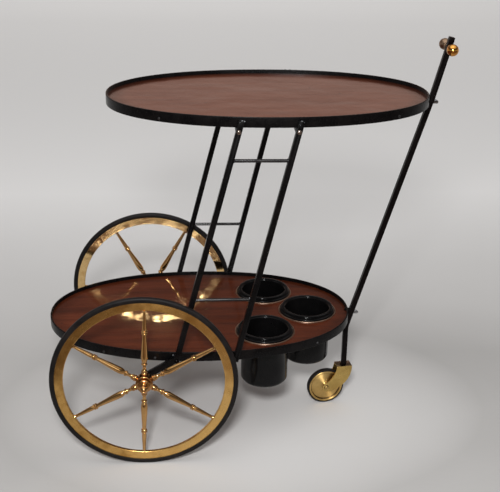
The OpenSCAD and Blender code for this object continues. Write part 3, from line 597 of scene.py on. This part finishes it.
def wheel(side_name, side):
    body = side_name + "_wheel"
    centre = middle(side_name + "_rim")
    place = Matrix.Translation(centre) @ facing(side)
    turned_piece(side_name + "_rim_turned", side_name + "_rim", RIM, place,
                 "rim_brass" if side == NEAR else "far_rim_brass", body, 240, True, 40)
    turned_piece(side_name + "_tyre_moulded", side_name + "_tyre", TYRE, place,
                 "rubber", body, 240, True, 40)

    arms = [Matrix.Rotation(math.radians(WHEEL_TURN[side] + 360 / SPOKES * i), 4, "Z")
            @ Matrix.Rotation(math.radians(90), 4, "Y") for i in range(SPOKES)]
    hub_lo, hub_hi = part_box(side_name + "_hub")
    inner = (centre.y - (hub_lo if side == FAR else hub_hi).y) * side / MM
    bm = bmesh.new()
    lathe(bm, hub_drum(inner), 72, True)
    for arm in arms:
        lathe(bm, SPOKE_SOCKET, 32, False, arm)
    finish_mesh(side_name + "_hub_turned", bm, mats["hub_brass"], body, place,
                (side_name + "_hub",), 40, False)
    for i, arm in enumerate(arms, 1):
        turned_piece(f"{side_name}_spoke_turned_{i}", f"{side_name}_spoke_{i}", SPOKE,
                     place @ arm, "turned_brass", body, 40)

    turned_piece(side_name + "_cap_nut_turned", side_name + "_cap_nut", CAP_NUT, place,
                 "hub_brass", "frame", 64, False, 40)


for side_name, side in SIDES.items():
    wheel(side_name, side)

# ---- Castor ----
HALF_FORK = 11.5  # millimetres, from the middle plane to the fork's outer faces
DISC_FACE = rounded([(2.56, 9.1), (5.4, 9.1), (6.4, 8.5), (6.6, 7.4), (8.2, 6.9), (9.2, 6.2),
                     (10.4, 5.5), (16, 4.2), (22, 3.0), (25.5, 2.4), (28.0, 2.0), (29.6, 1.9),
                     (30.3, 2.6), (30.9, 4.7), (31.6, 5.6), (33.2, 5.7), (34.5, 5.0)], 0.8)
CASTOR_TYRE = ([(34.5, -5.3), (35.2, -5.5)] + arc(35.4, -2.9, 2.6, -85, -12, 7)
               + arc(35.4, 2.9, 2.6, 12, 85, 7) + [(35.2, 5.5), (34.5, 5.3)])
RIVET_HEAD = rounded([(0, HALF_FORK + 1.25), (1.2, HALF_FORK + 1.4), (1.8, HALF_FORK + 2.0),
                      (2.4, HALF_FORK + 2.4), (3.4, HALF_FORK + 2.25), (4.4, HALF_FORK + 1.6),
                      (4.9, HALF_FORK + 0.6), (4.75, HALF_FORK), (2.5, HALF_FORK),
                      (2.5, HALF_FORK - 3)], 0.4)

castor_centre = middle("castor_wheel")
trail = castor_centre - middle("castor_stem")
castor_turn = math.atan2(-trail.y, -trail.x)
castor_place = (Matrix.Translation(castor_centre) @ Matrix.Rotation(castor_turn, 4, "Z")
                @ Matrix.Rotation(math.radians(90), 4, "X"))
turned_piece("castor_wheel_turned", "castor_wheel", both_faces(DISC_FACE), castor_place,
             "disc_brass", "castor_wheel", 128, True, 40)
turned_piece("castor_tyre_moulded", "castor_tyre", CASTOR_TYRE, castor_place,
             "rubber", "castor_wheel", 96, True, 40)
refined("castor_fork", "fork_brass", 0.45)
refined("castor_stem", "fork_brass", 0.3)
turned_piece("castor_rivet_turned", "castor_rivet", both_faces(RIVET_HEAD), castor_place,
             "disc_brass", "castor", 40, False, 40)

# ---- Handle ----
KNOB = (rounded([(3.54, 0), (6.2, 0), (6.4, 1), (6.2, 2.0), (5.2, 2.8), (4.7, 4.4)], 0.4)
        + [(4.6, 6), (4.75, 8.0), (5.3, 9.0)] + arc(0, 18.75, 10.75, -58, 90, 24))
KNOB[-1] = (0, KNOB[-1][1])
for side_name, side in SIDES.items():
    lo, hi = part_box(side_name + "_knob")
    centre = middle(side_name + "_knob")
    base = Vector((centre.x, lo.y if side == FAR else hi.y, centre.z))
    turned_piece(side_name + "_knob_turned", side_name + "_knob", KNOB,
                 Matrix.Translation(base) @ facing(side),
                 "knob_brass" if side == NEAR else "dull_brass", "frame", 64, False, 40)
refined("handle_bar", "black_steel")

# ---- Cups and trim rings, in millimetres ----
FLANGE_BELOW_TOP = 9.5
RING = [(46.5, 0), (57.5, 0)] + arc(56.2, 0.8, 1.3, 0, 180, 10) + [(46.5, 0.8)]


def cup_profile(top):
    """The outside from the bottom up, the flange, the beaded lip, then the inside down."""
    flange = top - FLANGE_BELOW_TOP
    outside = [(0, 0)] + arc(36.3, 9, 9, -90, 0, 10) + [(45.3, 40), (45.3, flange - 1.2),
                                                       (46.1, flange)]
    flange_edge = rounded([(53.2, flange), (54.4, flange + 1.1), (54.5, flange + 2.6),
                           (53.6, flange + 3.9)], 1.0)
    lip = (rounded([(51.2, flange + 4.5), (49.4, flange + 4.9), (49.2, flange + 6.2),
                    (50.6, flange + 7.0), (51.1, flange + 7.9), (50.7, flange + 8.9),
                    (49.4, top)], 0.8)
           + rounded([(47.0, top), (45.6, top - 0.3), (45.5, top - 1.8), (43.7, top - 3.4),
                      (43.5, top - 6)], 0.9))
    inside = [(43.5, 60)] + arc(36.3, 9, 7.2, 0, -90, 10) + [(0, 1.8)]
    return outside + flange_edge + lip + inside


for name in ("near", "far", "end"):
    cup, ring = name + "_cup", name + "_ring"
    lo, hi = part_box(cup)
    centre = middle(cup)
    turned_piece(cup + "_moulded", cup, cup_profile((hi.z - lo.z) / MM),
                 Matrix.Translation((centre.x, centre.y, lo.z)),
                 "cup_black", cup, 128, False, 50)
    ring_lo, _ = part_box(ring)
    turned_piece(ring + "_turned", ring, RING,
                 Matrix.Translation((centre.x, centre.y, ring_lo.z)),
                 "ring_brass", "frame", 128, True, 50)

# ---- Oval bands; the section is a list of (inset, height) in millimetres ----
BAND_SECTION = rounded([(0, 0), (0, 18), (3, 18), (3, 0)], [0.9, 0.9, 0.7, 0.7], True, 4)
BAND_STEPS = 360
BAND_WAVE = 0.12  # millimetres
BAND_INSET = 0.05  # millimetres, from the CAD band's face to the middle of the waves


def oval_point(t, a, b, inset):
    """The point of an oval at parameter t, moved inward by inset."""
    c, s = math.cos(t), math.sin(t)
    x = a * math.copysign(abs(c) ** (2 / OVAL_POWER), c)
    y = b * math.copysign(abs(s) ** (2 / OVAL_POWER), s)
    outward = Vector((math.copysign(abs(c) ** (2 - 2 / OVAL_POWER), c) / a,
                      math.copysign(abs(s) ** (2 - 2 / OVAL_POWER), s) / b))
    outward.normalize()
    return Vector((x, y)) - outward * inset


def band(node, name):
    """The flat steel bar round a tray, bent on edge: rounded corners and a slight waviness."""
    lo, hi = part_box(node)
    centre, half = (lo + hi) / 2, (hi - lo) / 2
    bm = bmesh.new()
    rows = []
    for i in range(BAND_STEPS):
        t = 2 * math.pi * (i + 0.5) / BAND_STEPS
        row = []
        for inset, z in BAND_SECTION:
            wave = BAND_WAVE * noise.noise(Vector((math.cos(t) * 6, math.sin(t) * 6, z * 0.05)))
            p = oval_point(t, half.x, half.y, (inset + wave + BAND_INSET) * MM)
            row.append(bm.verts.new((centre.x + p.x, centre.y + p.y, lo.z + z * MM)))
        rows.append(row)
    m = len(BAND_SECTION)
    for i in range(BAND_STEPS):
        a, b = rows[i], rows[(i + 1) % BAND_STEPS]
        for k in range(m):
            bm.faces.new((a[k], a[(k + 1) % m], b[(k + 1) % m], b[k]))
    finish_mesh(name, bm, mats["black_steel"], "frame", None, (node,), 50)


band("upper_band", "upper_band_bent")
band("lower_band", "lower_band_bent")

# ---- Frames, post and small metal parts, from the CAD shapes; the bars, post and nuts with rounded edges ----
for node in ("near_left_rod", "near_right_rod", "far_left_rod", "far_right_rod",
             "left_rail", "right_rail", "near_strut", "far_strut"):
    refined(node, "black_steel", 0.8, 3)
refined("push_post", "post_black", 0.8, 3)
for node in ("near_high_rung", "near_low_rung", "far_high_rung", "far_low_rung"):
    refined(node, "rung_black")
for node in ("near_axle", "far_axle", "post_spacers", "post_bolts"):
    refined(node, "black_steel")
refined("post_nuts", "nut_steel", 0.3)

# ---- Panels: the CAD nodes themselves ----
for node, mat in (("upper_panel", "upper_wood"), ("lower_panel", "lower_wood")):
    nodes[node].data.materials.clear()
    nodes[node].data.materials.append(mats[mat])

# ---- Screws, in millimetres ----
HEAD_SEGS = 48
UNDER_HEAD = -0.05  # where a head starts, just below its seat
DOME_START = 0.28  # share of the head's height where its dome starts
TAPER_START, TAPER_END, POINT = -20, -24, -24.5  # heights along the shank


def cut_off(part, y, direction):
    """Takes away what lies beyond the plane y and closes the cut."""
    geom = part.verts[:] + part.edges[:] + part.faces[:]
    cut = bmesh.ops.bisect_plane(part, geom=geom, plane_co=(0, y, 0),
                                 plane_no=(0, direction, 0), clear_outer=True)
    edges = [g for g in cut["geom_cut"] if isinstance(g, bmesh.types.BMEdge)]
    bmesh.ops.contextual_create(part, geom=edges)


def copy_into(bm, part, place):
    bmesh.ops.recalc_face_normals(part, faces=part.faces)
    mesh = bpy.data.meshes.new("part")
    part.to_mesh(mesh)
    part.free()
    mesh.transform(place)
    bm.from_mesh(mesh)
    bpy.data.meshes.remove(mesh)


def screw_head(bm, place, radius, height, slot, slot_turn, shank):
    """A round head with a straight slot, and its shank, into bm."""
    dome = [(radius * math.cos(math.radians(t)),
             height * (DOME_START + (1 - DOME_START) * math.sin(math.radians(t))))
            for t in range(0, 90, 10)]
    half_head = [(0, UNDER_HEAD), (radius, UNDER_HEAD)] + dome + [(0, height)]
    slot_floor = [(0, UNDER_HEAD), (radius * 0.93, UNDER_HEAD), (radius * 0.93, height * 0.3),
                  (0, height * 0.42)]
    turned_place = place @ Matrix.Rotation(slot_turn, 4, "Z")
    for sign in (1, -1):
        part = bmesh.new()
        lathe(part, half_head, HEAD_SEGS)
        cut_off(part, sign * slot / 2 * MM, -sign)
        copy_into(bm, part, turned_place)
    part = bmesh.new()
    lathe(part, slot_floor, HEAD_SEGS)
    for sign in (1, -1):
        cut_off(part, sign * slot / 2 * MM, sign)
    copy_into(bm, part, turned_place)
    part = bmesh.new()
    lathe(part, [(0, UNDER_HEAD), (shank, UNDER_HEAD), (shank, TAPER_START),
                 (shank * 0.3, TAPER_END), (0, POINT)], 20)
    copy_into(bm, part, place)


def solids_of(node):
    """The vertices of each separate solid in a CAD node, in a fixed order of the solids."""
    bm = bmesh.new()
    bm.from_mesh(nodes[node].data)
    bmesh.ops.remove_doubles(bm, verts=bm.verts, dist=CAD_MERGE)
    seen = set()
    found = []
    for start in bm.verts:
        if start in seen:
            continue
        seen.add(start)
        stack, group = [start], []
        while stack:
            v = stack.pop()
            group.append(v.co.copy())
            for e in v.link_edges:
                w = e.other_vert(v)
                if w not in seen:
                    seen.add(w)
                    stack.append(w)
        found.append(group)
    bm.free()
    found.sort(key=lambda g: (round(min(p.z for p in g), 3), round(min(p.x for p in g), 3),
                              round(min(p.y for p in g), 3)))
    return found


def mean(points):
    return sum(points, Vector()) / len(points)


def screws(node, name, mat, radius, height, slot, shank):
    """Slotted heads on the CAD node's screws, each at the end away from the middle line."""
    bm = bmesh.new()
    for i, points in enumerate(solids_of(node)):
        head_y = abs(max(points, key=lambda p: abs(p.y) + abs(p.x) * 0.001).y)
        tail_y = min(abs(p.y) for p in points)
        head = mean([p for p in points if abs(p.y) > head_y - height * MM * 1.02])
        tail = mean([p for p in points if abs(p.y) < tail_y + 2.5 * MM])
        outward = head - tail
        outward.z = 0
        outward.normalize()
        centre = mean(points)
        reach = max((p - centre).dot(outward) for p in points)
        seat = head - outward * ((head - centre).dot(outward) - (reach - height * MM))
        turned_out = outward.to_track_quat("Z", "Y").to_matrix().to_4x4()
        slot_turn = math.radians((i * 67) % 180)
        screw_head(bm, Matrix.Translation(seat) @ turned_out, radius, height, slot, slot_turn,
                   shank)
    finish_mesh(name, bm, mats[mat], "frame", None, (node,), 40, False)


screws("frame_screws", "frame_screws_slotted", "screw_steel", 4.0, 2.8, 1.1, 2.0)
screws("band_screws", "band_screws_slotted", "band_screw", 2.5, 1.75, 0.8, 1.3)

# ---- Weld beads: offsets and sizes in millimetres ----
HEAD_BEADS = {"left": ((0.6, 1.0, 1.5), (-3.6, -2.2, 0.9), (4.6, 0.2, 1.1)),
              "right": ((-0.8, 0.8, 1.3), (3.2, -1.5, 0.8), (-4.4, -4.8, 0.7))}  # x, z, size
FOOT_BEADS = ((-4.8, 12.5, 1.2), (4.9, 14, 1.2))  # x, z, size
RUNG_RING = 5  # beads round each end of a rung
RUNG_SPATTER = ((2.5, 1.0), (5, 0.8), (7, 1.15), (9.5, 0.9), (12, 0.6), (16, 0.5), (22, 0.45),
                (-3, 0.8))  # along the rung from its left end, or back from its right one; size
STRUT_BEADS = ((-1.0, 1.5), (-5.5, 1.2), (-10.5, 1.5))  # z, size
# how far beads lie from the middle of their bar, and those round a rung from its end
HEAD_OUT, FOOT_IN, RUNG_OUT, STRUT_IN = 4.7, 4.4, 2.3, 3.6
RUNG_RADIUS, RUNG_INWARD = 3.0, 0.9
BAND_IN = 1.2  # from the band's outer face
BAND_SPATTER = ((FAR, 277, 0, 0.9), (FAR, 281, 1.2, 0.6), (FAR, 286, 0.4, 1.0),
                (FAR, 292, 1.4, 0.7), (FAR, 298, 0.2, 0.55), (NEAR, 168.5, 0.6, 0.5),
                (NEAR, 189, 0.8, 0.5))  # side, x from the axle, inward, size


def bead(bm, centre, size, seed, rough=0.25):
    """A lumpy bead: a sphere pulled by noise, at a place in metres."""
    for v in bmesh.ops.create_icosphere(bm, subdivisions=3, radius=1.0)["verts"]:
        d = v.co.normalized()
        coarse = noise.noise(d * 2.1 + Vector((seed * 3.7, seed, 0)))
        fine = noise.noise(d * 5.3 + Vector((seed, 0, seed * 1.9)))
        lump = 1 + rough * coarse + rough * 0.5 * fine
        pulled = Vector((d.x * size[0], d.y * size[1], d.z * size[2])) * lump * MM
        v.co = Vector(centre) + pulled


def level_middle(points):
    """Middle of the box round points of one height."""
    xs, ys = [p.x for p in points], [p.y for p in points]
    return Vector(((min(xs) + max(xs)) / 2, (min(ys) + max(ys)) / 2, points[0].z))


def rod_ends(node):
    """Bottom and top of a slanted rod's centreline, from its CAD shape."""
    points = [v.co for v in nodes[node].data.vertices]
    z0, z1 = min(p.z for p in points), max(p.z for p in points)
    return (level_middle([p for p in points if p.z < z0 + 1e-4]),
            level_middle([p for p in points if p.z > z1 - 1e-4]))


bare = bmesh.new()
painted = bmesh.new()
seed = 1
for side_name, side in SIDES.items():
    for which in ("left", "right"):
        foot, head = rod_ends(f"{side_name}_{which}_rod")
        for dx, dz, size in HEAD_BEADS[which]:
            seed += 1
            bead(bare, (head.x + dx * MM, head.y + side * HEAD_OUT * MM, head.z + dz * MM),
                 (size * 1.3, size * 0.9, size * 0.9), seed, 0.5)
        for dx, dz, size in FOOT_BEADS:
            seed += 1
            bead(bare, (foot.x + dx * MM, foot.y - side * FOOT_IN * MM, foot.z + dz * MM),
                 (size, size * 0.8, size * 1.5), seed)
    for height in ("high", "low"):
        lo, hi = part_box(f"{side_name}_{height}_rung")
        rung_y, rung_z = (lo.y + hi.y) / 2, (lo.z + hi.z) / 2
        for x, inward in ((lo.x, RUNG_INWARD), (hi.x, -RUNG_INWARD)):
            for k in range(RUNG_RING):
                seed += 1
                a = 2 * math.pi * k / RUNG_RING + seed
                bead(bare, (x + inward * MM, rung_y + RUNG_RADIUS * MM * math.cos(a),
                            rung_z + RUNG_RADIUS * MM * math.sin(a)), (1.1, 1.1, 1.1), seed)
    lo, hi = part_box(side_name + "_high_rung")
    for k, (along, size) in enumerate(RUNG_SPATTER):
        seed += 1
        start = lo.x if along > 0 else hi.x
        bead(bare, (start + along * MM, (lo.y + hi.y) / 2 + side * RUNG_OUT * MM,
                    hi.z - 1.5 * MM - 0.6 * (k % 2) * MM),
             (size * 1.2, size * 0.8, size * 0.8), seed, 0.4)
    lo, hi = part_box(side_name + "_strut")
    for dz, size in STRUT_BEADS:
        seed += 1
        strut_face = (lo.y + hi.y) / 2 - side * STRUT_IN * MM
        bead(painted, (hi.x - 0.4 * MM, strut_face, hi.z + dz * MM), (size, size * 0.9, size), seed)
lo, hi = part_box("upper_band")
half = (hi - lo) / 2
for side, x, dy, size in BAND_SPATTER:
    seed += 1
    offset = axle_x + x * MM - (lo.x + hi.x) / 2
    reach = half.y * (1 - abs(offset / half.x) ** OVAL_POWER) ** (1 / OVAL_POWER)
    bead(bare, (axle_x + x * MM, (lo.y + hi.y) / 2 + side * (reach - (BAND_IN + dy) * MM),
                hi.z - 0.1 * MM), (size * 1.9, size * 1.3, size * 0.9), seed, 0.5)
finish_mesh("painted_welds", painted, mats["black_steel"], "frame",
            angle=60, merge=False)
finish_mesh("weld_beads", bare, mats["weld_metal"], "frame", angle=60, merge=False)

# ---- Light ----
# colour or grey level from the horizon (0) to straight up (1), beyond the trolley and before it
WORLD_BEHIND = ((0.0, (0.6, 0.54, 0.51)), (0.1, (0.6, 0.49, 0.44)), (0.25, (0.42, 0.28, 0.23)),
                (0.4, 0.08), (0.58, 0.08), (0.74, 0.85), (1.0, 1.15))
WORLD_BEFORE = ((0.0, 0.55), (0.1, 0.5), (0.2, 0.08), (0.56, 0.08), (0.74, 0.8), (1.0, 1.15))
WORLD_SEEN = (0.6, 0.59, 0.585)

world = bpy.data.worlds.new("world")
scene.world = world
s = Shade(world)
_, y, z = s.split(s.new("TexCoord").outputs["Generated"])
sky = s.mix(s.span(y, 0.0, 1.0, 0.0, 0.5), s.ramp(z, *WORLD_BEFORE), s.ramp(z, *WORLD_BEHIND))
sky = s.mix(s.new("LightPath").outputs["Is Camera Ray"], sky, WORLD_SEEN)
background = s.tree.nodes["Background"]
s.put(background.inputs["Color"], sky)
s.put(background.inputs["Strength"], 1.0)


def lamp(name, place, target, size, power):
    data = bpy.data.lights.new(name, "AREA")
    data.shape = "RECTANGLE"
    data.size, data.size_y = size
    data.energy = power
    o = bpy.data.objects.new(name, data)
    scene.collection.objects.link(o)
    o.location = place
    o.rotation_euler = (Vector(target) - Vector(place)).to_track_quat("-Z", "Y").to_euler()


lamp("flash", (-0.2, -1.9, 1.5), (0, 0, 0.35), (0.3, 0.22), 40)
lamp("top", (0.0, -0.4, 2.4), (0, 0, 0.3), (1.7, 1.3), 6)
lamp("fill", (0.1, -2.4, 0.7), (0, 0, 0.1), (0.9, 0.5), 4)
lamp("backdrop", (0.0, 5.5, 4.0), (0, 9.0, 0), (6.0, 2.0), 100)

# ---- Floor: a pale cloth with painted light on it, and painted dark boards in its reflections ----
FLOOR_HALF = 20
CLOTH_DARK, CLOTH_PALE = (0.37, 0.36, 0.35), (0.43, 0.42, 0.41)
CLOTH_PAINTED_LIGHT = (0.9, 0.89, 0.88)
REFLECTED_BOARDS_LEFT, REFLECTED_BOARDS_RIGHT = (0.06, 0.034, 0.02), (0.13, 0.085, 0.055)
# the first two rows are painted light: the cloth is paler behind the trolley, where the lamps leave
# it dimmer
# colour, its share from and to, and where along Y
CLOTH_BANDS = (((0.82, 0.81, 0.8), 0.0, 1.0, 0.2, 1.3),
               ((0.66, 0.65, 0.64), 0.0, 1.0, 1.4, 4.5),
               ((0.74, 0.73, 0.72), 1.0, 0.0, -5.0, -2.2))

s = new_shade("floor")
cloud = s.noise(s.coord(), 1.7, 3, 0.5)
fine = s.noise(s.coord(1, 6, 1), 38, 4, 0.6)
x, y, _ = s.position()
tone = s.mix(s.span(cloud, 0.0, 1.0), CLOTH_DARK, CLOTH_PALE)
for color, low, high, from_y, to_y in CLOTH_BANDS:
    tone = s.mix(s.span(y, low, high, from_y, to_y), tone, color)
# painted light: the cloth is paler under the trolley, which lightens the trolley's shadow on it
under = s.oval(x, y, (0.0, 0.0), (0.5, 0.36), 2.0)
tone = s.mix(s.span(under, 0.6, 0.0, 0.0, 1.0), tone, CLOTH_PAINTED_LIGHT)
# painted reflection: for every ray but the camera's, the floor in front of the view is dark
# floorboards, so reflections show them
unseen = s.math("SUBTRACT", 1.0, s.new("LightPath").outputs["Is Camera Ray"])
front = s.math("MULTIPLY", s.span(y, 1.0, 0.0, -0.56, -0.46), unseen)
reflected_boards = s.ramp(s.span(x, 0.0, 1.0, -0.38, -0.05), (0.0, REFLECTED_BOARDS_LEFT), (1.0, REFLECTED_BOARDS_RIGHT))
tone = s.mix(front, tone, reflected_boards)
cloth = s.done(Base_Color=tone, Roughness=s.span(fine, 0.75, 0.9),
               Normal=s.bump(fine, 0.05, 0.0005))
mesh = bpy.data.meshes.new("floor")
corners = [(-FLOOR_HALF, -FLOOR_HALF, 0), (FLOOR_HALF, -FLOOR_HALF, 0),
           (FLOOR_HALF, FLOOR_HALF, 0), (-FLOOR_HALF, FLOOR_HALF, 0)]
mesh.from_pydata(corners, [], [(0, 1, 2, 3)])
floor = bpy.data.objects.new("floor", mesh)
scene.collection.objects.link(floor)
mesh.materials.append(cloth)
